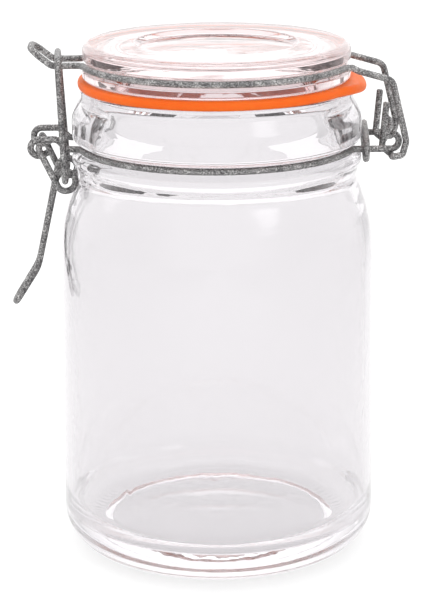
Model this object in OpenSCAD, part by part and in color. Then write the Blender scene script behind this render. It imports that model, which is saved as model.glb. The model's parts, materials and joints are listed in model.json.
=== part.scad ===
// Clamp-top glass storage jar: glass jar and lid, rubber gasket, and bent-wire hinge and latch.
// The origin is the centre of the foot on the table, +Z is up, the latch is at -X, the hinge at +X.

/* [Jar] */
// Diameter of the body just above the heel
body_d = 105.6; // [100:0.1:110]
// Diameter of the body where the shoulder starts
body_top_d = 103.6; // [100:0.1:105]
// Radius of the rounded heel
heel_r = 12.7; // [11:0.1:13.5]
// Inner diameter of the mouth
mouth_d = 82; // [78:0.1:83]
// Thickness of the glass wall
wall = 2.9; // [2.4:0.1:3.4]
// Thickness of the glass floor at its middle
floor_t = 6.6; // [5:0.1:8]
// Height of the hollow under the floor
push_up = 2.6; // [1.5:0.1:3]
// Height of the rim that the gasket lies on
rim_z = 156.2; // [156:0.1:156.3]

/* [Lid] */
// Largest diameter of the lid
lid_d = 87.7; // [86:0.1:88]
// Diameter at the bottom of the lid's wire groove
lid_groove_d = 85.7; // [85:0.1:85.7]
// Height of the lid's top ring above the table
lid_top_z = 170.9; // [170:0.1:171.5]
// Diameter of the shallow dish in the lid's top
dish_d = 50; // [40:0.5:56]
// Depth of that dish
dish_depth = 1.6; // [0.8:0.1:2.5]
// Diameter of the plug under the lid
plug_d = 75.6; // [70:0.1:76]

/* [Gasket] */
// Outer diameter of the gasket
gasket_d = 90.8; // [89:0.1:92]
// Inner diameter of the gasket
gasket_hole_d = 80.6; // [79:0.1:82]
// Thickness of the gasket
gasket_t = 3.1; // [2.8:0.1:3.1]
// Reach of the pull tab from the jar's axis
tab_reach = 49; // [47:0.1:51]

/* [Wire] */
// Diameter of every wire
wire_d = 2.2; // [1.8:0.1:2.2]
// Height of the neck wire in its groove
neck_wire_z = 137.5; // [137.3:0.1:137.6]
// Height of the lid wire in its groove
lid_wire_z = 164.4; // [164.2:0.1:164.6]

/* [Hidden] */
$fn = 64;
wire_r = wire_d / 2;
play = 0.05;               // air between a wire and the glass that it lies on
lap = 0.05;                // how far neighbouring pieces of one wire run into each other
hair = 0.01;               // and how much thinner the inner one is, so that no faces coincide
turn_out_r = 3;            // bend by which a strand leaves its ring
steel = [0.56, 0.56, 0.57];
glass = [0.82, 0.9, 0.88, 0.45];
rubber = [1.0, 0.45, 0.18];

// heights and radii of the jar's outline above the shoulder
shoulder_z = 112.9;
waist_r = 45.6;
waist_z = 127.4;
bead_r = 48.1;
bead_z = 133.7;
groove_r = 44.5;
band_r = 47.6;
band_low_z = 139.6;
band_high_z = 147.4;
rim_r = 44.6;
bore_low_z = 130;
foot_r = 39.6;             // outside of the hollow under the floor

// neck wire: a half ring on each side of the neck
neck_ring_r = groove_r + wire_r + play;
curl_y = 9.7;              // front and back curls that hold the lever
curl_r = 2.7;
pivot_x = -58;             // lever pivot, at the middle of the curls
pivot_z = 138.1;
strand_y = 13.5;           // front and back strands on the hinge side
stop_x = 56;               // upturned end that keeps the lid wire's hook on the strand
stop_r = 2.6;
rise_from_x = -48.9;       // the latch strand rises to its curl between these two corners
rise_to_x = -52;
curl_tail = 28;            // angle and length of the straight end after the curl
curl_tail_length = 3.2;
link_x = 48.9;             // clamp ring round the two strands
link_r = wire_d + 0.8;
link_y = strand_y + 1.1;

// lid wire
lid_ring_r = lid_groove_d / 2 + wire_r + play;
tongue_y = 7;
tongue_knee_x = -53.4;
tongue_tip_x = -60.2;
tongue_tip_z = 169.8;
leg_y = 15.8;              // the lid wire's legs, outside the neck strands
leg_lead = [45, -1.0];     // corners of a leg: x, and height over the lid wire
leg_shoulder = [56, -4.1];
leg_ankle = [60.8, 140.4]; // lower corners: x, and height above the table
leg_toe = [59.6, 135.85];
stub_y = 11.2;             // and its turned-up ends, inside them
stub_foot = [53.4, 137.8];
stub_top = [54.7, 152.4];
hinge_x = 56.4;
hinge_z = neck_wire_z - wire_d - play;

// lever and bail
arm_y = curl_y + wire_d + 0.1;
eye_x = -49.4;
eye_z = 127.2;
eye_r = 3.1;
handle_y = arm_y - wire_d - 0.1;
knee_x = -59.6;            // bend above the end of the handle
knee_z = 96.7;
tip_x = -67.5;             // end of the handle, which narrows towards it
tip_z = 84.1;
tip_y = 3.2;
foot_x = -49.6;            // bail's foot, high in the eye
foot_z = 127.6;
bail_foot_y = arm_y + wire_d + 0.1;
bail_top_y = 9.7;
bail_top_x = -51.2;
bail_top_z = lid_wire_z + wire_d + 0.1;

function unit(v) = v / norm(v);
function sum_of(v, i = 0) = i < len(v) ? v[i] + sum_of(v, i + 1) : 0;

// corner of an outline, rounded with radius r between its neighbours a and b
function corner_arc(a, p, b, r, steps) =
    let (u = unit(a - p), v = unit(b - p), half = acos(u * v) / 2, c = p + unit(u + v) * r / sin(half),
         start = p + u * r / tan(half) - c, stop = p + v * r / tan(half) - c,
         side = start[0] * stop[1] - start[1] * stop[0] > 0 ? 1 : -1)
    [for (i = [0:steps]) let (t = side * (180 - 2 * half) * i / steps)
        c + [start[0] * cos(t) - start[1] * sin(t), start[0] * sin(t) + start[1] * cos(t)]];

// outline from corners [x, y, radius]; a radius of 0 stays sharp
function rounded(corners) = [for (i = [0:len(corners) - 1])
    let (n = len(corners), p = corners[i], a = corners[(i + n - 1) % n], b = corners[(i + 1) % n])
    each p[2] == 0 ? [[p[0], p[1]]]
        : corner_arc([a[0], a[1]], [p[0], p[1]], [b[0], b[1]], p[2], p[2] > 20 ? 10 : 7)];

module stretch(from, to) {
    // one straight of wire, a hair thinner than the bends that it runs into
    way = to - from;
    along = unit(way);
    side = unit(cross(abs(along[2]) < 0.9 ? [0, 0, 1] : [1, 0, 0], along));
    up = cross(along, side);
    multmatrix([[side[0], up[0], along[0], from[0]], [side[1], up[1], along[1], from[1]],
                [side[2], up[2], along[2], from[2]], [0, 0, 0, 1]])
        cylinder(h = norm(way), r = wire_r - hair);
}

module bend(a, p, b, r) {
    // the rounded corner of a wire at p, from a to b
    u = unit(a - p);
    v = unit(b - p);
    half = acos(u * v) / 2;
    c = p + unit(u + v) * r / sin(half);
    x = unit(p + u * r / tan(half) - c);
    z = unit(cross(v, u));
    y = cross(z, x);
    multmatrix([[x[0], y[0], z[0], c[0]], [x[1], y[1], z[1], c[1]], [x[2], y[2], z[2], c[2]], [0, 0, 0, 1]])
        rotate_extrude(angle = 180 - 2 * half) translate([r, 0]) circle(r = wire_r);
}

// bent wire through 3-D corners; radii has one bend radius for each inner corner
module wire(points, radii, lap_start = 0, lap_stop = 0) {
    last = len(points) - 1;
    function cut(i) = i == 0 ? -lap_start : i == last ? -lap_stop
        : radii[i - 1] / tan(acos(unit(points[i - 1] - points[i]) * unit(points[i + 1] - points[i])) / 2) - lap;
    for (i = [0:last - 1]) {
        along = unit(points[i + 1] - points[i]);
        stretch(points[i] + along * cut(i), points[i + 1] - along * cut(i + 1));
    }
    for (i = [1:last - 1]) bend(points[i - 1], points[i], points[i + 1], radii[i - 1]);
}

module arc(centre, r, from, to, thin = 0) {
    // a level arc of wire
    translate(centre) rotate(from) rotate_extrude(angle = to - from) translate([r, 0]) circle(r = wire_r - thin);
}

module upright_arc(centre, r, from, to) {
    // an arc of wire in a plane of constant Y, with angles from +X towards +Z
    translate(centre) rotate([90, 0, 0]) rotate([0, 0, from])
        rotate_extrude(angle = to - from) translate([r, 0]) circle(r = wire_r);
}

jar_corners = [
    [0, push_up, 0], [foot_r - 3, push_up - 1.2, 2], [foot_r, 0, 1], [body_d / 2, 0, heel_r],
    [body_top_d / 2, shoulder_z, 62], [waist_r, waist_z, 7], [bead_r, bead_z, 1.7],
    [groove_r, neck_wire_z - 1.4, 0.9], [groove_r, neck_wire_z + 1.2, 0.7], [band_r, band_low_z, 1.8],
    [band_r, band_high_z, 8], [rim_r, rim_z - 3, 4], [rim_r, rim_z, 1.2], [mouth_d / 2, rim_z, 1],
    [mouth_d / 2, bore_low_z, 9], [body_top_d / 2 - wall, shoulder_z - 1.5, 50],
    [body_d / 2 - wall, push_up + floor_t + 0.8, 10], [0, push_up + floor_t, 0]];

lid_flange_z = rim_z + gasket_t + 0.1;
lid_corners = [
    [0, lid_flange_z + 3, 0], [plug_d / 2 - 5, lid_flange_z + 2.4, 2], [plug_d / 2 - 3.6, rim_z - 1.8, 1],
    [plug_d / 2, rim_z - 1.8, 1.2], [plug_d / 2 + 1, lid_flange_z, 0.4], [lid_d / 2, lid_flange_z, 1],
    [lid_d / 2, lid_wire_z - 2.2, 1], [lid_groove_d / 2, lid_wire_z - 1.1, 0.5],
    [lid_groove_d / 2, lid_wire_z + 1.1, 0.5], [lid_d / 2, lid_wire_z + 1.7, 0.4], [lid_d / 2, lid_top_z, 2.6],
    [dish_d / 2 + 2, lid_top_z, 1.5], [dish_d / 2, lid_top_z - dish_depth, 1.5], [0, lid_top_z - dish_depth, 0]];

module jar() {
    color(glass) rotate_extrude($fn = 128) polygon(rounded(jar_corners));
}

module lid() {
    color(glass) rotate_extrude($fn = 128) polygon(rounded(lid_corners));
}

module gasket() {
    tab_r = 33;
    color(rubber) translate([0, 0, rim_z + play]) difference() {
        union() {
            cylinder(h = gasket_t, d = gasket_d, $fn = 128);
            translate([tab_reach - tab_r, 0, 0.2]) cylinder(h = gasket_t - 0.4, r = tab_r, $fn = 128);
        }
        translate([0, 0, -1]) cylinder(h = gasket_t + 2, d = gasket_hole_d, $fn = 128);
    }
}

// a strand at y leaves a ring of radius ring_r through a bend of radius r; this is that bend's centre
function leave(ring_r, y, r) = [sqrt(pow(ring_r + r, 2) - pow(y + r, 2)), y + r];

module half_neck_wire() {
    // the half ring behind the neck (+Y), from the latch curl to the hinge curl
    l = leave(neck_ring_r, curl_y, turn_out_r);
    h = leave(neck_ring_r, strand_y, turn_out_r);
    l_turn = atan2(l[1], l[0]);
    h_turn = atan2(h[1], h[0]);
    arc([0, 0, neck_wire_z], neck_ring_r, h_turn - lap, 180 - l_turn + lap, hair);
    arc([h[0], h[1], neck_wire_z], turn_out_r, 180 + h_turn, 270);
    arc([-l[0], l[1], neck_wire_z], turn_out_r, 270, 360 - l_turn);
    // strand and curl that stops the lid wire's hook
    stretch([h[0] - lap, strand_y, neck_wire_z], [stop_x + lap, strand_y, neck_wire_z]);
    upright_arc([stop_x, strand_y, neck_wire_z + stop_r], stop_r, -90, 75);
    // strand and curl that hold the lever
    curl_top = pivot_z + curl_r;
    wire([[-l[0], curl_y, neck_wire_z], [rise_from_x, curl_y, neck_wire_z], [rise_to_x, curl_y, curl_top],
          [pivot_x, curl_y, curl_top]], [1.8, 2.6], lap, lap);
    upright_arc([pivot_x, curl_y, pivot_z], curl_r, 90, 270 + curl_tail);
    foot = [pivot_x + curl_r * sin(curl_tail), curl_y, pivot_z - curl_r * cos(curl_tail)];
    out = [cos(curl_tail), 0, sin(curl_tail)];
    stretch(foot - lap * out, foot + curl_tail_length * out);
}

module neck_wire_back() {
    color(steel) half_neck_wire();
}

module neck_wire_front() {
    color(steel) mirror([0, 1, 0]) half_neck_wire();
}

module clamp_ring() {
    // a closed wire link round both strands of the neck wire
    color(steel) translate([link_x, 0, neck_wire_z]) for (s = [-1, 1]) {
        translate([0, s * link_y, 0]) rotate([0, 90, 0]) rotate([0, 0, s > 0 ? 0 : 180])
            rotate_extrude(angle = 180) translate([link_r, 0]) circle(r = wire_r);
        stretch([0, -link_y - lap, s * link_r], [0, link_y + lap, s * link_r]);
    }
}

module half_lid_wire() {
    // the half of the lid wire behind the lid (+Y)
    l = leave(lid_ring_r, tongue_y, turn_out_r);
    h = leave(lid_ring_r, leg_y, turn_out_r);
    l_turn = atan2(l[1], l[0]);
    h_turn = atan2(h[1], h[0]);
    arc([0, 0, lid_wire_z], lid_ring_r, h_turn - lap, 180 - l_turn + lap, hair);
    arc([h[0], h[1], lid_wire_z], turn_out_r, 180 + h_turn, 270);
    arc([-l[0], l[1], lid_wire_z], turn_out_r, 270, 360 - l_turn);
    // leg down to the hinge, under the neck strand and up again as a short end
    wire([[h[0], leg_y, lid_wire_z], [leg_lead[0], leg_y, lid_wire_z + leg_lead[1]],
          [leg_shoulder[0], leg_y, lid_wire_z + leg_shoulder[1]], [leg_ankle[0], leg_y, leg_ankle[1]],
          [leg_toe[0], leg_y, leg_toe[1]], [hinge_x, leg_y, hinge_z], [hinge_x, stub_y, hinge_z],
          [stub_foot[0], stub_y, stub_foot[1]], [stub_top[0], stub_y, stub_top[1]]],
         [5, 3.2, 3.4, 1.2, 1.15, 1.15, 1.6], lap, 0);
    // turned-up tongue under the bail
    wire([[-l[0], tongue_y, lid_wire_z], [tongue_knee_x, tongue_y, lid_wire_z],
          [tongue_tip_x, tongue_y, tongue_tip_z], [tongue_tip_x, -lap, tongue_tip_z]],
         [3, 4.4], lap, 0);
}

module lid_wire() {
    color(steel) {
        half_lid_wire();
        mirror([0, 1, 0]) half_lid_wire();
    }
}

// corners round the eye, each on the square that the coil of wire fits
eye_turn = [for (i = [0:7]) 180 + 26 + 22.5 + 42 * i];

module half_lever() {
    // the arm, eye and handle strand behind the middle (+Y)
    reach = eye_r / cos(21);
    eye = [for (i = [0:7]) [eye_x + reach * cos(eye_turn[i]), arm_y - (arm_y - handle_y) * (i + 0.5) / 8,
                            eye_z + reach * sin(eye_turn[i])]];
    wire(concat([[pivot_x, curl_y - 2.6, pivot_z], [pivot_x, arm_y, pivot_z]], eye,
                [[knee_x, tip_y + 1, knee_z], [tip_x, tip_y, tip_z], [tip_x, -lap, tip_z]]),
         concat([1.5], [for (i = [0:7]) eye_r * 0.93], [14, 2.9]), 0, 0);
}

module lever() {
    color(steel) {
        half_lever();
        mirror([0, 1, 0]) half_lever();
    }
}

module half_bail() {
    wire([[foot_x, handle_y - 1.2, foot_z], [foot_x, bail_foot_y, foot_z], [bail_top_x, bail_top_y, bail_top_z],
          [bail_top_x, -lap, bail_top_z]], [1.5, 2.4]);
}

module bail() {
    color(steel) {
        half_bail();
        mirror([0, 1, 0]) half_bail();
    }
}

jar();
lid();
gasket();
neck_wire_front();
neck_wire_back();
clamp_ring();
lid_wire();
lever();
bail();
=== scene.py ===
import json
from math import acos, atan2, cos, degrees, exp, pi, radians, sin, sqrt, tan

import bpy
from mathutils import Euler, Matrix, Vector, noise


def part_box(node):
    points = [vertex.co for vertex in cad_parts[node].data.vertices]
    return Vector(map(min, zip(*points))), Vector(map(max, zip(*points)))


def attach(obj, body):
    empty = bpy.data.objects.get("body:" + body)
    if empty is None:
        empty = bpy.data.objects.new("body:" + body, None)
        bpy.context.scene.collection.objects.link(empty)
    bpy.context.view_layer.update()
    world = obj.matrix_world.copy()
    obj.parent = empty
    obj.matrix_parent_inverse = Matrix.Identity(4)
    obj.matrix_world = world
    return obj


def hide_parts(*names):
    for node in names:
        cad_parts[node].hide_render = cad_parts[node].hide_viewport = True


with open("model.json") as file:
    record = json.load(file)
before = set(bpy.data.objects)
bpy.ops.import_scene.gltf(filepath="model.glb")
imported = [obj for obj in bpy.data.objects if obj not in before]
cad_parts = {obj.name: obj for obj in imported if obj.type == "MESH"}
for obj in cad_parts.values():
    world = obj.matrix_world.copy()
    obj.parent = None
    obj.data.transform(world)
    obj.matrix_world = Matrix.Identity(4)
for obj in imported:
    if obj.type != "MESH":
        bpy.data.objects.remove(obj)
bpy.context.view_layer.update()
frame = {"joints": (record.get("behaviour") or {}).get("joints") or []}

MM = 0.001                      # all sizes below are in millimetres, as on the CAD side


# ---------------------------------------------------------------- sizes, from the frame where it has them

def box_mm(node):
    low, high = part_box(node)
    return [v / MM for v in low], [v / MM for v in high]


RIM_Z = box_mm("jar")[1][2]
LID_TOP_Z = box_mm("lid")[1][2]
GASKET_LOW, GASKET_HIGH = box_mm("gasket")
JOINT = {j["name"]: [v / MM for v in j["pos_m"]] for j in frame["joints"]}

WIRE_R = 1.1                    # every wire is 2.2 mm thick
PLAY = 0.05                     # air between a wire and the glass that it lies on
WIRE_PITCH = 2 * WIRE_R + 0.1   # from one wire to the next that lies beside it

# jar
BODY_R = 52.8
BODY_TOP_R = 51.8
HEEL_R = 12.7
WALL = 2.9
INSIDE_R = BODY_TOP_R - WALL
FLOOR_T = 6.6
PUSH_UP = 2.6
FOOT_R = 39.6
MOUTH_R = 41.0
SHOULDER_Z = 112.9
WAIST_R, WAIST_Z = 45.6, 127.4
BEAD_R, BEAD_Z = 48.1, 133.7
GROOVE_R = 44.5
BAND_R, BAND_LOW_Z, BAND_HIGH_Z = 47.6, 139.6, 147.4
NECK_RIM_R = 44.6
NECK_WIRE_Z = 137.5
BORE_LOW_Z = 130.0              # where the straight bore of the neck ends

# lid
LID_R = 43.85
LID_GROOVE_R = 42.85
LID_WIRE_Z = 164.4
LID_FLANGE_Z = GASKET_HIGH[2] + PLAY
LID_HOLLOW_Z = LID_FLANGE_Z + 3
DISH_R, DISH_DEPTH = 25.0, 1.6
PLUG_R, PLUG_Z = 37.8, RIM_Z - 1.8

# gasket
GASKET_R, GASKET_HOLE_R = 45.4, 40.3
TAB_R, TAB_REACH = 33.0, GASKET_HIGH[0]

# latch and hinge
PIVOT_X, _, PIVOT_Z = JOINT["lever_pivot"]
FOOT_X, _, FOOT_Z = JOINT["bail_pivot"]
HINGE_X, _, HINGE_Z = JOINT["lid_hinge"]
CURL_Y, CURL_R = 9.7, 2.7
STRAND_Y = 13.5
STOP_X, STOP_R = 56.0, 2.6
TONGUE_Y, TONGUE_KNEE_X, TONGUE_TIP_X, TONGUE_TIP_Z = 7.0, -53.4, -60.2, 169.8
LEG_Y, STUB_Y = 15.8, 11.2
LEG_LEAD, LEG_SHOULDER = (45, -1.0), (56, -4.1)         # x, and height over the lid wire
LEG_ANKLE, LEG_TOE = (60.8, 140.4), (59.6, 135.85)      # x, and height above the table
STUB_FOOT, STUB_TOP = (53.4, 137.8), (54.7, 152.4)
RISE_FROM_X, RISE_TO_X = -48.9, -52
CURL_TAIL, CURL_TAIL_LENGTH = 28, 3.2
LINK_X, LINK_R = 48.9, 3.0
TURN_OUT_R = 3.0
RISE_BENDS = [2.6, 1.8]                                 # bend radii, in the order of the wires' corners
TONGUE_BENDS = [4.4, 3]
LEG_BENDS = [5, 3.2, 3.4, 1.2, 1.15, 1.15, 1.6]
HANDLE_BENDS = [14, 2.9]
BAIL_TOP_BEND = 2.4
ARM_Y = CURL_Y + WIRE_PITCH
PIN_REACH, BAIL_PIN_REACH, PIN_BEND_R = 2.6, 1.2, 1.5   # inner ends that the lever and the bail turn on
EYE_X, EYE_Z, EYE_R = -49.4, 127.2, 3.1
EYE_BEND_R = 0.93 * EYE_R
EYE_CORNERS, EYE_START, EYE_STEP = 8, 228.5, 42         # corners of the eye's coil, in degrees
KNEE_X, KNEE_Z = -59.6, 96.7
TIP_X, TIP_Y, TIP_Z = -67.5, 3.2, 84.1
BAIL_FOOT_Y = ARM_Y + WIRE_PITCH
BAIL_TOP_X, BAIL_TOP_Y, BAIL_TOP_Z = -51.2, 9.7, LID_WIRE_Z + WIRE_PITCH


# ---------------------------------------------------------------- camera

CAMERA_DISTANCE = 0.700         # metres, level distance from the jar's axis
CAMERA_HEIGHT = 0.284
CAMERA_PITCH = 16.0             # degrees below level
CAMERA_SWING = 1.3              # degrees that the camera stands towards the latch
CAMERA_TURN = 0.154             # degrees that it looks to the left of the jar's axis
CAMERA_ROLL = -0.32
CAMERA_LENS = 129.9


def make_camera():
    data = bpy.data.cameras.new("camera")
    data.lens = CAMERA_LENS
    data.sensor_width = 36.0
    camera = bpy.data.objects.new("camera", data)
    bpy.context.scene.collection.objects.link(camera)
    swing = radians(CAMERA_SWING)
    camera.location = (-CAMERA_DISTANCE * sin(swing), -CAMERA_DISTANCE * cos(swing), CAMERA_HEIGHT)
    look = Euler((radians(90 - CAMERA_PITCH), 0, radians(CAMERA_TURN) - swing)).to_matrix()
    camera.rotation_euler = (look @ Matrix.Rotation(radians(CAMERA_ROLL), 3, "Z")).to_euler()
    bpy.context.scene.camera = camera


# ---------------------------------------------------------------- outlines, lathed bodies and swept wires

def corner(a, p, b, radius, step_angle):
    """Points of the arc that rounds the corner p between a and b, in 2-D or 3-D."""
    u, v = (a - p).normalized(), (b - p).normalized()
    half = acos(max(-1.0, min(1.0, u.dot(v)))) / 2
    centre = p + (u + v).normalized() * (radius / sin(half))
    start, stop = p + u * (radius / tan(half)), p + v * (radius / tan(half))
    turn = pi - 2 * half
    steps = max(3, int(degrees(turn) / step_angle) + 1)
    x = (start - centre) / radius
    y = ((stop - centre) / radius - x * cos(turn)) / sin(turn)
    angles = [turn * i / steps for i in range(steps + 1)]
    return [centre + (x * cos(a) + y * sin(a)) * radius for a in angles]


def outline(corners, step_angle=7.0, gap=1.6):
    """Open profile through corners (r, z, rounding), with its straights cut into steps of about gap."""
    raw = [Vector((r, z)) for r, z, _ in corners]
    points = [raw[0]]
    for i in range(1, len(raw) - 1):
        rounding = corners[i][2]
        points += corner(raw[i - 1], raw[i], raw[i + 1], rounding, step_angle) if rounding else [raw[i]]
    points.append(raw[-1])
    dense = [points[0]]
    for p in points[1:]:
        length = (p - dense[-1]).length
        if length < 1e-4:
            continue
        start, n = dense[-1], max(1, round(length / gap))
        dense += [start.lerp(p, (i + 1) / n) for i in range(n)]
    return dense


def new_object(name, vertices, faces, smooth=True):
    mesh = bpy.data.meshes.new(name)
    mesh.from_pydata([tuple(c * MM for c in v) for v in vertices], [], faces)
    mesh.validate()
    mesh.update()
    if smooth:
        mesh.polygons.foreach_set("use_smooth", [True] * len(mesh.polygons))
    made = bpy.data.objects.new(name, mesh)
    bpy.context.scene.collection.objects.link(made)
    return made


def lathe(name, profile, segments, shape=None):
    """Body of revolution, from a profile that starts and ends on the axis. shape(r, z, angle) bends it."""
    vertices, rings = [], []
    for p in profile:
        if p.x < 1e-6:
            rings.append([len(vertices)])
            vertices.append((0.0, 0.0, p.y))
            continue
        ring = []
        for k in range(segments):
            angle = 2 * pi * k / segments
            r, z = shape(p.x, p.y, angle) if shape else (p.x, p.y)
            ring.append(len(vertices))
            vertices.append((r * cos(angle), r * sin(angle), z))
        rings.append(ring)
    faces = []
    for low, high in zip(rings, rings[1:]):
        for k in range(segments):
            n = (k + 1) % segments
            if len(low) == 1:
                faces.append((low[0], high[n], high[k]))
            elif len(high) == 1:
                faces.append((low[k], low[n], high[0]))
            else:
                faces.append((low[k], low[n], high[n], high[k]))
    return new_object(name, vertices, faces)


def path(corners, radii, step_angle=9.0):
    """3-D line through corners, each inner one rounded with its own radius."""
    points = [Vector(c) for c in corners]
    line = [points[0]]
    for i, radius in enumerate(radii, start=1):
        line += corner(points[i - 1], points[i], points[i + 1], radius, step_angle)
    line.append(points[-1])
    return line


def level_arc(x, y, z, radius, start, stop):
    steps = max(4, int(abs(stop - start) * max(1.0, radius / 12) / 8))
    angles = [radians(start + (stop - start) * i / steps) for i in range(steps + 1)]
    return [Vector((x + radius * cos(a), y + radius * sin(a), z)) for a in angles]


def upright_arc(x, y, z, radius, start, stop):
    steps = max(4, int(abs(stop - start) / 9))
    angles = [radians(start + (stop - start) * i / steps) for i in range(steps + 1)]
    return [Vector((x + radius * cos(a), y, z + radius * sin(a))) for a in angles]


def mirrored(line):
    return [Vector((p.x, -p.y, p.z)) for p in line]


def evenly(line, gap):
    """The same line with no two neighbours closer than a hair and none much further apart than gap."""
    out = [line[0]]
    for p in line[1:]:
        length = (p - out[-1]).length
        if length < 0.02:
            continue
        start, n = out[-1], max(1, round(length / gap))
        out += [start.lerp(p, (i + 1) / n) for i in range(n)]
    return out


LUMP_SIZE = 1.7                 # spacing of the zinc coat's lumps
LUMP_DEPTH = 0.035              # how far the coat dips between them
END_CHAMFER = 0.28              # of a cut end, across the wire
END_CHAMFER_LENGTH = 0.22       # and along it


def sweep(name, line, closed=False, sides=18, gap=0.55):
    """Round wire along a line, with a slightly lumpy zinc coat and chamfered ends."""
    line = evenly(line, gap)
    if closed:
        line = line[:-1]
    count = len(line)
    tangents = []
    for i, p in enumerate(line):
        before = line[i - 1] if i or closed else p
        after = line[(i + 1) % count] if i < count - 1 or closed else p
        tangents.append((after - before).normalized())
    side = tangents[0].orthogonal().normalized()
    frames = []
    for t in tangents:
        side = (side - t * side.dot(t)).normalized()
        frames.append((side.copy(), t.cross(side)))
    twist = 0.0
    if closed:
        last = (frames[-1][0] - tangents[0] * frames[-1][0].dot(tangents[0])).normalized()
        twist = atan2(last.dot(frames[0][1]), last.dot(frames[0][0]))
    vertices, faces = [], []

    def ring(centre, u, v, radius, turn):
        first = len(vertices)
        for k in range(sides):
            a = 2 * pi * k / sides + turn
            out = u * cos(a) + v * sin(a)
            lump = noise.noise((centre + out * radius) / LUMP_SIZE)
            vertices.append(centre + out * (radius - LUMP_DEPTH * (0.5 + 0.5 * lump) * (radius / WIRE_R)))
        return first

    def band(a, b):
        for k in range(sides):
            n = (k + 1) % sides
            faces.append((a + k, a + n, b + n, b + k))

    starts = []
    for i, (p, (u, v)) in enumerate(zip(line, frames)):
        turn = -twist * i / count if closed else 0.0
        if not closed and i in (0, count - 1):
            inward = tangents[i] * (END_CHAMFER_LENGTH if i == 0 else -END_CHAMFER_LENGTH)
            rings = [ring(p, u, v, WIRE_R - END_CHAMFER, turn), ring(p + inward, u, v, WIRE_R, turn)]
            starts += rings if i == 0 else rings[::-1]
        else:
            starts.append(ring(p, u, v, WIRE_R, turn))
    for a, b in zip(starts, starts[1:]):
        band(a, b)
    if closed:
        band(starts[-1], starts[0])
    else:
        faces.append(tuple(starts[0] + k for k in reversed(range(sides))))
        faces.append(tuple(starts[-1] + k for k in range(sides)))
    return new_object(name, vertices, faces)


# ---------------------------------------------------------------- materials

JAR_SKIN = (0.725, 0.703, 0.725)        # share of the light that the outer face lets through: faint grey
INSIDE_SKIN = (1.0, 1.0, 1.0)           # the inner face takes none
LID_SKIN_AND_GASKET_GLOW = (0.83, 0.72, 0.725)          # faint grey skin, painted pink with the glow of the orange gasket that shines into it
JAR_RIPPLE, LID_RIPPLE = 0.10, 0.08
ZINC_PIT, ZINC_DULL = (0.05, 0.047, 0.05), (0.18, 0.175, 0.175)
ZINC_GREY, ZINC_WORN = (0.31, 0.305, 0.305), (0.72, 0.71, 0.70)
RUBBER_DEEP, RUBBER_DUSTY = (0.90, 0.130, 0.004), (0.93, 0.165, 0.010)


def material(name):
    made = bpy.data.materials.new(name)
    made.use_nodes = True
    nodes = made.node_tree.nodes
    return made, nodes, made.node_tree.links, nodes["Principled BSDF"]


def add(nodes, kind, **values):
    node = nodes.new(kind)
    for key, value in values.items():
        if key in node.inputs:
            node.inputs[key].default_value = value
        else:
            setattr(node, key, value)
    return node


def noise_node(nodes, links, coords, scale, detail=3.0, roughness=0.55):
    node = add(nodes, "ShaderNodeTexNoise", Scale=scale, Detail=detail, Roughness=roughness)
    links.new(coords.outputs["Object"], node.inputs["Vector"])
    return node


def bump(nodes, links, shader, height, strength, distance):
    node = add(nodes, "ShaderNodeBump", Strength=strength, Distance=distance)
    links.new(height, node.inputs["Height"])
    links.new(node.outputs["Normal"], shader.inputs["Normal"])


def ramp_node(nodes, links, source, stops):
    node = nodes.new("ShaderNodeValToRGB")
    elements = node.color_ramp.elements
    while len(elements) < len(stops):
        elements.new(0.5)
    for element, (place, colour) in zip(elements, stops):
        element.position = place
        element.color = (*colour, 1.0)
    links.new(source, node.inputs["Fac"])
    return node


def glass_material(name, skin, ripple):
    """Clear pressed glass with shallow ripples from the mould. Its face tints the light by skin."""
    made, nodes, links, shader = material(name)
    shader.inputs["Base Color"].default_value = (*skin, 1.0)
    shader.inputs["Roughness"].default_value = 0.012
    shader.inputs["IOR"].default_value = 1.5
    shader.inputs["Transmission Weight"].default_value = 1.0
    coords = nodes.new("ShaderNodeTexCoord")
    waves = noise_node(nodes, links, coords, 170.0, detail=2.0, roughness=0.4)
    bump(nodes, links, shader, waves.outputs["Fac"], ripple, 0.0004)
    return made


def zinc_material():
    """Galvanised wire: dull grey zinc, mottled in two sizes, with dark pits and pale worn spots."""
    made, nodes, links, shader = material("galvanised_wire")
    coords = nodes.new("ShaderNodeTexCoord")
    mottle = noise_node(nodes, links, coords, 2200.0, detail=2.5, roughness=0.65)
    cloud = noise_node(nodes, links, coords, 260.0, detail=2.0)
    grain = add(nodes, "ShaderNodeMix", data_type="FLOAT")
    grain.inputs["Factor"].default_value = 0.25
    links.new(mottle.outputs["Fac"], grain.inputs[2])
    links.new(cloud.outputs["Fac"], grain.inputs[3])
    colours = ramp_node(nodes, links, grain.outputs[0],
                        [(0.395, ZINC_PIT), (0.47, ZINC_DULL), (0.54, ZINC_GREY), (0.63, ZINC_WORN)])
    links.new(colours.outputs["Color"], shader.inputs["Base Color"])
    rough = ramp_node(nodes, links, cloud.outputs["Fac"], [(0.35, (0.42,) * 3), (0.65, (0.68,) * 3)])
    links.new(rough.outputs["Color"], shader.inputs["Roughness"])
    shader.inputs["Metallic"].default_value = 0.4
    bump(nodes, links, shader, mottle.outputs["Fac"], 0.5, 0.00012)
    return made


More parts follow.
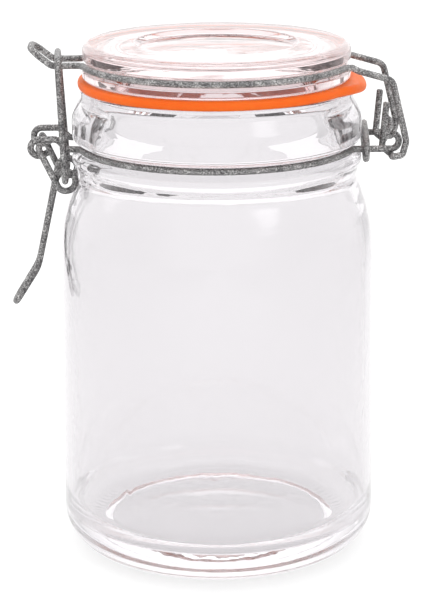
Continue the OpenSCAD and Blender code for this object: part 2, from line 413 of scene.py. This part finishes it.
def rubber_material():
    """Orange gasket rubber with a soft satin skin and faint dusty patches."""
    made, nodes, links, shader = material("orange_rubber")
    coords = nodes.new("ShaderNodeTexCoord")
    patches = noise_node(nodes, links, coords, 60.0, detail=4.0)
    colours = ramp_node(nodes, links, patches.outputs["Fac"], [(0.3, RUBBER_DEEP), (0.7, RUBBER_DUSTY)])
    links.new(colours.outputs["Color"], shader.inputs["Base Color"])
    fine = noise_node(nodes, links, coords, 900.0, detail=2.0)
    rough = ramp_node(nodes, links, fine.outputs["Fac"], [(0.3, (0.38,) * 3), (0.7, (0.55,) * 3)])
    links.new(rough.outputs["Color"], shader.inputs["Roughness"])
    shader.inputs["Specular IOR Level"].default_value = 0.22
    shader.inputs["Subsurface Weight"].default_value = 0.3
    shader.inputs["Subsurface Radius"].default_value = (0.004, 0.0015, 0.0006)
    bump(nodes, links, shader, fine.outputs["Fac"], 0.15, 0.0001)
    return made


def finish_piece(piece, body, slot, looks, *nodes):
    for look in looks:
        piece.data.materials.append(look)
    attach(piece, body)
    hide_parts(*nodes)


# ---------------------------------------------------------------- the jar

KNURLS = 96                     # short ribs under the heel
KNURL_R, KNURL_WIDTH, KNURL_HEIGHT = 44.5, 2.2, 1.6
KNURL_DEPTH = 0.25
SEAM_ANGLES = (-125.0, 55.0)    # where the two halves of the mould met
SEAM_LOW_Z = 14
SEAM_HEIGHT, SEAM_WIDTH, SEAM_REACH = 0.07, 0.55, 1.5   # millimetres proud, and degrees round the jar
SEGMENTS = 4 * KNURLS
WAVE_DEPTH = 0.22               # of the blown inside wall
WAVE_BROAD, WAVE_FINE = (1.9, 42.0, 0), (4.5, 16.0, 7)  # waves round the wall, millimetres up, and a shift
WAVE_FINE_SHARE = 0.45
WAVE_FROM_Z, WAVE_FULL_Z = 18, 58
NECK_Z = 126                    # above it the inside was pressed, and is truer
NECK_WAVE_SHARE = 0.25


def jar_profile():
    return outline([
        (0, PUSH_UP, 0), (FOOT_R - 3, PUSH_UP - 1.2, 2), (FOOT_R, 0, 1),
        (BODY_R, 0, HEEL_R), (BODY_TOP_R, SHOULDER_Z, 62), (WAIST_R, WAIST_Z, 7), (BEAD_R, BEAD_Z, 1.7),
        (GROOVE_R, NECK_WIRE_Z - 1.4, 0.9), (GROOVE_R, NECK_WIRE_Z + 1.2, 0.7),
        (BAND_R, BAND_LOW_Z, 1.8), (BAND_R, BAND_HIGH_Z, 8),
        (NECK_RIM_R, RIM_Z - 3, 4), (NECK_RIM_R, RIM_Z, 1.2), (MOUTH_R, RIM_Z, 1),
        (MOUTH_R, BORE_LOW_Z, 9), (INSIDE_R, SHOULDER_Z - 1.5, 50),
        (BODY_R - WALL, PUSH_UP + FLOOR_T + 0.8, 10), (0, PUSH_UP + FLOOR_T, 0)])


def wall_wave(angle, z, kind):
    around, up, shift = kind
    return noise.noise(Vector((cos(angle) * around, sin(angle) * around, z / up + shift)))


def jar_shape(r, z, angle):
    """Blown inside walls are wavy; the outside has mould seams and ribs under the heel."""
    inside = r < INSIDE_R + 2.2 and z > PUSH_UP + 1.5 and not (r > MOUTH_R + 0.3 and z > NECK_Z)
    if inside:
        wave = wall_wave(angle, z, WAVE_BROAD) + WAVE_FINE_SHARE * wall_wave(angle, z, WAVE_FINE)
        share = min(1.0, max(0.0, (z - WAVE_FROM_Z) / (WAVE_FULL_Z - WAVE_FROM_Z)))
        if z > NECK_Z:
            share *= NECK_WAVE_SHARE
        return r + WAVE_DEPTH * wave * share, z
    for seam in SEAM_ANGLES:
        off = (degrees(angle) - seam + 180) % 360 - 180
        if SEAM_LOW_Z < z <= RIM_Z - 2 and abs(off) < SEAM_REACH:
            r += SEAM_HEIGHT * exp(-(off / SEAM_WIDTH) ** 2)
    if z < 4:
        rib = exp(-((r - KNURL_R) / KNURL_WIDTH) ** 2) * exp(-(z / KNURL_HEIGHT) ** 2)
        z += KNURL_DEPTH * rib * (0.5 + 0.5 * cos(KNURLS * angle))
    return r, z


def make_jar():
    profile = jar_profile()
    jar = lathe("glass_jar", profile, SEGMENTS, jar_shape)
    looks = [glass_material("jar_glass", JAR_SKIN, JAR_RIPPLE),
             glass_material("jar_glass_inside", INSIDE_SKIN, JAR_RIPPLE)]
    finish_piece(jar, "root", "jar_glass", looks, "jar")
    first_inside = max(i for i, p in enumerate(profile) if p.y > RIM_Z - 0.01)
    for i, face in enumerate(jar.data.polygons):
        face.material_index = 1 if i >= first_inside * SEGMENTS else 0


# ---------------------------------------------------------------- the lid

def lid_profile():
    return outline([
        (0, LID_HOLLOW_Z, 0), (PLUG_R - 5, LID_HOLLOW_Z - 0.6, 2),
        (PLUG_R - 3.6, PLUG_Z, 1), (PLUG_R, PLUG_Z, 1.2), (PLUG_R + 1, LID_FLANGE_Z, 0.4),
        (LID_R, LID_FLANGE_Z, 1), (LID_R, LID_WIRE_Z - 2.2, 1), (LID_GROOVE_R, LID_WIRE_Z - 1.1, 0.5),
        (LID_GROOVE_R, LID_WIRE_Z + 1.1, 0.5), (LID_R, LID_WIRE_Z + 1.7, 0.4),
        (LID_R, LID_TOP_Z, 2.6), (DISH_R + 2, LID_TOP_Z, 1.5), (DISH_R, LID_TOP_Z - DISH_DEPTH, 1.5),
        (0, LID_TOP_Z - DISH_DEPTH, 0)], step_angle=8.0, gap=1.3)


LID_WAVE_ACROSS, LID_WAVE_UP = 14, 20
LID_DIP, LID_HOLLOW_WAVE = 0.10, 0.12   # depth of the unevenness of the top, and of the hollow below


def lid_shape(r, z, angle):
    """Pressed faces are a little uneven: the top dips, and the hollow under it goes up and down."""
    x, y = cos(angle) * r / LID_WAVE_ACROSS, sin(angle) * r / LID_WAVE_ACROSS
    wave = noise.noise(Vector((x, y, z / LID_WAVE_UP + 3)))
    if z > LID_TOP_Z - DISH_DEPTH - 0.3 and r < LID_R - 4:
        return r, z - LID_DIP * (0.5 + 0.5 * wave)
    if z < LID_HOLLOW_Z + 0.2 and r < PLUG_R - 4:
        return r, z + LID_HOLLOW_WAVE * wave
    return r, z


def make_lid():
    lid = lathe("glass_lid", lid_profile(), SEGMENTS // 2, lid_shape)
    # the lid's skin is painted faintly pink with the gasket's glow
    finish_piece(lid, "lid", "lid_glass", [glass_material("lid_glass", LID_SKIN_AND_GASKET_GLOW, LID_RIPPLE)], "lid")


# ---------------------------------------------------------------- the gasket

GASKET_STEPS, FACE_STEPS = 320, 14      # round the ring, and across each flat face
GASKET_EDGE_R = 1.0             # rounding of the moulded outer edge
GASKET_HOLE_EDGE_R = 0.4        # and of the inner one
GASKET_RIB_DEPTH, GASKET_RIB_PITCH, GASKET_RIB_LIMIT = 0.10, 1.25, 44
TAB_DROOP = 1.5                 # how far the tab's tip hangs down
TAB_BLEND = 0.12                # softens the corner where the tab starts


def gasket_edge(angle):
    """Outer radius of the gasket: a round ring that runs smoothly out into the pull tab."""
    middle = TAB_REACH - TAB_R
    reach = TAB_R ** 2 - (middle * sin(angle)) ** 2
    tab = middle * cos(angle) + sqrt(reach)
    blend = 0.5 * (GASKET_R + tab + sqrt((GASKET_R - tab) ** 2 + TAB_BLEND))
    return min(blend, TAB_REACH - 0.02)


def gasket_section(outer):
    """Closed outline (r, z) of the rubber, where it reaches out to outer."""
    low, high = GASKET_LOW[2], GASKET_HIGH[2]
    middle, half = (low + high) / 2, (high - low) / 2
    inner_r, outer_r = GASKET_HOLE_R + GASKET_HOLE_EDGE_R, outer - GASKET_EDGE_R
    section = []
    for i in range(FACE_STEPS + 1):                      # top, from the hole outwards
        r = inner_r + (outer_r - inner_r) * i / FACE_STEPS
        ribbed = 0.5 + 0.5 * cos((r - GASKET_HOLE_R) * 2 * pi / GASKET_RIB_PITCH)
        section.append((r, high - (GASKET_RIB_DEPTH * ribbed if r < GASKET_RIB_LIMIT else 0.0)))
    for i in range(1, 8):                                # rounded outer edge
        a = pi / 2 - pi * i / 8
        section.append((outer_r + GASKET_EDGE_R * cos(a), middle + half * sin(a)))
    for i in range(FACE_STEPS + 1):                      # bottom, back to the hole
        section.append((outer_r - (outer_r - inner_r) * i / FACE_STEPS, low))
    for i in range(1, 5):                                # rounded inner edge
        a = -pi / 2 - pi * i / 5
        section.append((inner_r + GASKET_HOLE_EDGE_R * cos(a), middle + half * sin(a)))
    return section


def make_gasket():
    vertices, faces = [], []
    for k in range(GASKET_STEPS):
        angle = 2 * pi * k / GASKET_STEPS
        outer = gasket_edge(angle)
        droop = TAB_DROOP * max(0.0, (outer - GASKET_R - 0.3) / (TAB_REACH - GASKET_R)) ** 1.3
        for r, z in gasket_section(outer):
            past = max(0.0, min(1.0, (r - NECK_RIM_R) / (TAB_REACH - NECK_RIM_R)))
            vertices.append((r * cos(angle), r * sin(angle), z - droop * past ** 1.2))
    size = len(vertices) // GASKET_STEPS
    for k in range(GASKET_STEPS):
        a, b = k * size, ((k + 1) % GASKET_STEPS) * size
        for i in range(size):
            n = (i + 1) % size
            faces.append((a + i, a + n, b + n, b + i))
    gasket = new_object("rubber_gasket", vertices, faces)
    finish_piece(gasket, "lid", "gasket_rubber", [rubber_material()], "gasket")


# ---------------------------------------------------------------- the wires

def leave(ring_r, y, r):
    """Centre of the bend by which a strand at y leaves a ring of wire, and its angle round the ring."""
    x = sqrt((ring_r + r) ** 2 - (y + r) ** 2)
    return x, y + r, degrees(atan2(y + r, x))


def neck_wire_line():
    """From the curl at the latch, round the back of the neck, to the stop at the hinge."""
    ring_r = GROOVE_R + WIRE_R + PLAY
    bend = TURN_OUT_R
    lx, ly, l_turn = leave(ring_r, CURL_Y, bend)
    hx, hy, h_turn = leave(ring_r, STRAND_Y, bend)
    tail = radians(CURL_TAIL)
    foot = Vector((PIVOT_X + CURL_R * sin(tail), CURL_Y, PIVOT_Z - CURL_R * cos(tail)))
    top = PIVOT_Z + CURL_R
    line = [foot + CURL_TAIL_LENGTH * Vector((cos(tail), 0, sin(tail)))]
    line += upright_arc(PIVOT_X, CURL_Y, PIVOT_Z, CURL_R, 270 + degrees(tail), 90)
    line += path([(PIVOT_X, CURL_Y, top), (RISE_TO_X, CURL_Y, top),
                  (RISE_FROM_X, CURL_Y, NECK_WIRE_Z), (-lx, CURL_Y, NECK_WIRE_Z)], RISE_BENDS)
    line += level_arc(-lx, ly, NECK_WIRE_Z, bend, 270, 360 - l_turn)
    line += level_arc(0, 0, NECK_WIRE_Z, ring_r, 180 - l_turn, h_turn)
    line += level_arc(hx, hy, NECK_WIRE_Z, bend, 180 + h_turn, 270)
    line += upright_arc(STOP_X, STRAND_Y, NECK_WIRE_Z + STOP_R, STOP_R, -90, 75)
    return line


def lid_wire_half():
    """From the middle of the tongue, round the back of the lid, to the end of the hook."""
    ring_r = LID_GROOVE_R + WIRE_R + PLAY
    bend = TURN_OUT_R
    lx, ly, l_turn = leave(ring_r, TONGUE_Y, bend)
    hx, hy, h_turn = leave(ring_r, LEG_Y, bend)
    line = path([(TONGUE_TIP_X, 0, TONGUE_TIP_Z), (TONGUE_TIP_X, TONGUE_Y, TONGUE_TIP_Z),
                 (TONGUE_KNEE_X, TONGUE_Y, LID_WIRE_Z), (-lx, TONGUE_Y, LID_WIRE_Z)], TONGUE_BENDS)
    line += level_arc(-lx, ly, LID_WIRE_Z, bend, 270, 360 - l_turn)
    line += level_arc(0, 0, LID_WIRE_Z, ring_r, 180 - l_turn, h_turn)
    line += level_arc(hx, hy, LID_WIRE_Z, bend, 180 + h_turn, 270)
    line += path([(hx, LEG_Y, LID_WIRE_Z), (LEG_LEAD[0], LEG_Y, LID_WIRE_Z + LEG_LEAD[1]),
                  (LEG_SHOULDER[0], LEG_Y, LID_WIRE_Z + LEG_SHOULDER[1]), (LEG_ANKLE[0], LEG_Y, LEG_ANKLE[1]),
                  (LEG_TOE[0], LEG_Y, LEG_TOE[1]), (HINGE_X, LEG_Y, HINGE_Z), (HINGE_X, STUB_Y, HINGE_Z),
                  (STUB_FOOT[0], STUB_Y, STUB_FOOT[1]), (STUB_TOP[0], STUB_Y, STUB_TOP[1])], LEG_BENDS)
    return line


def lever_half():
    """From the pivot's inner end, round the eye, to the middle of the handle's loop."""
    reach = EYE_R / cos(radians(EYE_STEP / 2))
    eye = []
    for i in range(EYE_CORNERS):
        turn = radians(EYE_START + EYE_STEP * i)
        y = ARM_Y - (ARM_Y - CURL_Y) * (i + 0.5) / EYE_CORNERS
        eye.append((EYE_X + reach * cos(turn), y, EYE_Z + reach * sin(turn)))
    corners = [(PIVOT_X, CURL_Y - PIN_REACH, PIVOT_Z), (PIVOT_X, ARM_Y, PIVOT_Z), *eye,
               (KNEE_X, TIP_Y + 1, KNEE_Z), (TIP_X, TIP_Y, TIP_Z), (TIP_X, 0, TIP_Z)]
    bends = [PIN_BEND_R] + [EYE_BEND_R] * EYE_CORNERS + HANDLE_BENDS
    return path(corners, bends)


def bail_half():
    """From the foot's inner end, in the lever's eye, to the middle of the top."""
    corners = [(FOOT_X, CURL_Y - BAIL_PIN_REACH, FOOT_Z), (FOOT_X, BAIL_FOOT_Y, FOOT_Z),
               (BAIL_TOP_X, BAIL_TOP_Y, BAIL_TOP_Z), (BAIL_TOP_X, 0, BAIL_TOP_Z)]
    return path(corners, [PIN_BEND_R, BAIL_TOP_BEND])


LINK_SLANT = 0.063              # sideways slant of the loose clamp ring
LATCH_SLANT = -0.04             # and of the bail
EYE_SHARE = 0.4                 # share of it at the eyes and the bail's feet, so that they still turn freely


def clamp_ring_line():
    x, half, r = LINK_X, STRAND_Y + WIRE_R, LINK_R
    line = []
    for s in (1, -1):
        for i in range(19):
            a = pi / 2 - pi * i / 18
            line.append(Vector((x, s * (half + r * cos(a)), NECK_WIRE_Z + s * r * sin(a))))
    return line + [line[0]]


def askew(line, slant, still_y, levels):
    """Hand-bent loops hang a little askew: x shifts with y, by the share that levels [(z, share)] give."""
    out = []
    for p in line:
        share = levels[-1][1]
        for (low_z, low), (high_z, high) in zip(levels, levels[1:]):
            if p.z <= high_z:
                share = low + (high - low) * max(0.0, (p.z - low_z) / (high_z - low_z))
                break
        out.append(Vector((p.x + slant * (p.y - still_y) * share, p.y, p.z)))
    return out


def make_wires():
    zinc = zinc_material()
    back = neck_wire_line()
    lid_half = lid_wire_half()
    lever = lever_half()
    bail = bail_half()
    link = askew(clamp_ring_line(), LINK_SLANT, 0.0, [(0, 1)])
    lever_loop = askew(lever + mirrored(lever)[::-1][1:], LATCH_SLANT, -ARM_Y,
                       [(KNEE_Z, 0), (EYE_Z - EYE_R, EYE_SHARE), (EYE_Z + 5, EYE_SHARE), (PIVOT_Z - 1, 0)])
    bail_loop = askew(bail + mirrored(bail)[::-1][1:], LATCH_SLANT, -ARM_Y,
                      [(FOOT_Z + 3, EYE_SHARE), (FOOT_Z + 15, 1)])
    pieces = [
        ("neck_wire_back_zinc", back, False, "root", "neck_wire_back"),
        ("neck_wire_front_zinc", mirrored(back), False, "root", "neck_wire_front"),
        ("clamp_ring_zinc", link, True, "root", "clamp_ring"),
        ("lid_wire_zinc", mirrored(lid_half)[::-1] + lid_half[1:], False, "lid", "lid_wire"),
        ("lever_zinc", lever_loop, False, "lever", "lever"),
        ("bail_zinc", bail_loop, False, "bail", "bail")]
    for name, line, closed, body, node in pieces:
        finish_piece(sweep(name, line, closed), body, "wire_steel", [zinc], node)


# ---------------------------------------------------------------- stage and light

# the floor's glow is painted light: emission that stands in for studio light, fading towards the front and
# the sides
FLOOR_HALF = 4.0                # metres from the jar to the floor's near and side edges
FLOOR_DROP = 0.0003             # the floor lies a hair under the foot
FLOOR_GLOW = 0.74               # by the jar and behind it
FLOOR_GLOW_FRONT = 0.66         # further in front
FLOOR_GLOW_SIDE = 0.62          # share of these that is left at the sides
FRONT_FADE = (-0.7, -0.1)       # metres along Y over which the glow changes
SIDE_FADE = (0.105, 0.40)       # metres across X
SIDE_SPLAY = -0.1               # turns the fading edges, so that the bright strip widens with depth
TENT_SIDES = [(0.45, (1.0,) * 3), (0.9, (0.66,) * 3)]   # share of the light, by the direction's X
TENT_FRONT, TENT_BACK = (-1.0, 0.72), (0.6, 1.0)        # and by its Y
SOFT_BOXES = [(42, 34, 3.0), (-107, 26, 3.0)]           # degrees from the front, degrees up, strength
SOFT_BOX_CORE, SOFT_BOX_EDGE = 2, 13                    # degrees from its middle where it fades
LAMP_PLACE, LAMP_SIZE, LAMP_WATTS = (0.0, 0.5, 1.9), 1.6, 5.0
GLASS_BOUNCES = 96              # light crosses many faces of clear glass


def fade(nodes, links, source, start, stop, low, high):
    """Value that goes smoothly from low to high as the source goes from start to stop."""
    node = add(nodes, "ShaderNodeMapRange", interpolation_type="SMOOTHSTEP")
    for name, value in {"From Min": start, "From Max": stop, "To Min": low, "To Max": high}.items():
        node.inputs[name].default_value = value
    links.new(source, node.inputs["Value"])
    return node


def make_floor():
    """Pale table top that glows a little, like paper lit from below: a painted glow, greyer in front and at
    the sides where less light falls.
    """
    near, far = -FLOOR_HALF, 2 * FLOOR_HALF
    corners = [(-FLOOR_HALF, near), (FLOOR_HALF, near), (FLOOR_HALF, far), (-FLOOR_HALF, far)]
    mesh = bpy.data.meshes.new("floor")
    mesh.from_pydata([(x, y, -FLOOR_DROP) for x, y in corners], [], [(0, 1, 2, 3)])
    floor = bpy.data.objects.new("floor", mesh)
    bpy.context.scene.collection.objects.link(floor)
    made, nodes, links, shader = material("floor_paper_painted_glow")
    shader.inputs["Base Color"].default_value = (0.32, 0.32, 0.32, 1.0)
    shader.inputs["Roughness"].default_value = 0.9
    shader.inputs["Specular IOR Level"].default_value = 0.1
    coords = nodes.new("ShaderNodeTexCoord")
    split = nodes.new("ShaderNodeSeparateXYZ")
    links.new(coords.outputs["Object"], split.inputs[0])
    depth = fade(nodes, links, split.outputs["Y"], *FRONT_FADE, FLOOR_GLOW_FRONT, FLOOR_GLOW)
    side = add(nodes, "ShaderNodeMath", operation="ABSOLUTE")
    links.new(split.outputs["X"], side.inputs[0])
    slant = add(nodes, "ShaderNodeMath", operation="MULTIPLY_ADD")
    slant.inputs[1].default_value = SIDE_SPLAY
    links.new(split.outputs["Y"], slant.inputs[0])
    links.new(side.outputs[0], slant.inputs[2])
    width = fade(nodes, links, slant.outputs[0], *SIDE_FADE, 1.0, FLOOR_GLOW_SIDE)
    glow = add(nodes, "ShaderNodeMath", operation="MULTIPLY")
    links.new(depth.outputs[0], glow.inputs[0])
    links.new(width.outputs[0], glow.inputs[1])
    shader.inputs["Emission Color"].default_value = (1.0, 1.0, 1.0, 1.0)
    links.new(glow.outputs[0], shader.inputs["Emission Strength"])
    mesh.materials.append(made)


def make_lamp():
    """Large soft lamp overhead, aimed at the jar's foot."""
    data = bpy.data.lights.new("overhead", "AREA")
    data.shape = "SQUARE"
    data.size = LAMP_SIZE
    data.energy = LAMP_WATTS
    lamp = bpy.data.objects.new("overhead", data)
    lamp.location = LAMP_PLACE
    lamp.rotation_euler = (-Vector(LAMP_PLACE)).to_track_quat("-Z", "Y").to_euler()
    bpy.context.scene.collection.objects.link(lamp)


def make_world():
    """White studio tent: bright above and behind, greyer at the sides and towards the viewer."""
    world = bpy.data.worlds.new("studio")
    bpy.context.scene.world = world
    world.use_nodes = True
    nodes, links = world.node_tree.nodes, world.node_tree.links
    background = nodes["Background"]
    coords = nodes.new("ShaderNodeTexCoord")
    split = nodes.new("ShaderNodeSeparateXYZ")
    links.new(coords.outputs["Generated"], split.inputs[0])
    side = add(nodes, "ShaderNodeMath", operation="ABSOLUTE")
    links.new(split.outputs["X"], side.inputs[0])
    across = ramp_node(nodes, links, side.outputs[0], TENT_SIDES)
    deep = fade(nodes, links, split.outputs["Y"], TENT_FRONT[0], TENT_BACK[0], TENT_FRONT[1], TENT_BACK[1])
    mix = add(nodes, "ShaderNodeMix", data_type="RGBA", blend_type="MULTIPLY")
    mix.inputs["Factor"].default_value = 1.0
    links.new(across.outputs["Color"], mix.inputs[6])
    links.new(deep.outputs[0], mix.inputs[7])
    links.new(mix.outputs[2], background.inputs["Color"])
    strength = add(nodes, "ShaderNodeMath", operation="ADD")
    strength.inputs[0].default_value = 1.0
    core, edge = cos(radians(SOFT_BOX_CORE)), cos(radians(SOFT_BOX_EDGE))
    for turn, rise, gain in SOFT_BOXES:
        level = cos(radians(rise))
        toward = (level * sin(radians(turn)), -level * cos(radians(turn)), sin(radians(rise)))
        facing = add(nodes, "ShaderNodeVectorMath", operation="DOT_PRODUCT")
        facing.inputs[1].default_value = toward
        links.new(coords.outputs["Generated"], facing.inputs[0])
        spot = fade(nodes, links, facing.outputs["Value"], edge, core, 0.0, gain)
        total = add(nodes, "ShaderNodeMath", operation="ADD")
        links.new(strength.outputs[0], total.inputs[0])
        links.new(spot.outputs[0], total.inputs[1])
        strength = total
    links.new(strength.outputs[0], background.inputs["Strength"])


def make_stage():
    make_floor()
    make_world()
    make_lamp()
    scene = bpy.context.scene
    scene.view_settings.view_transform = "Standard"
    scene.cycles.max_bounces = GLASS_BOUNCES
    scene.cycles.transmission_bounces = GLASS_BOUNCES
    scene.cycles.glossy_bounces = GLASS_BOUNCES


make_camera()
make_stage()
make_jar()
make_lid()
make_gasket()
make_wires()
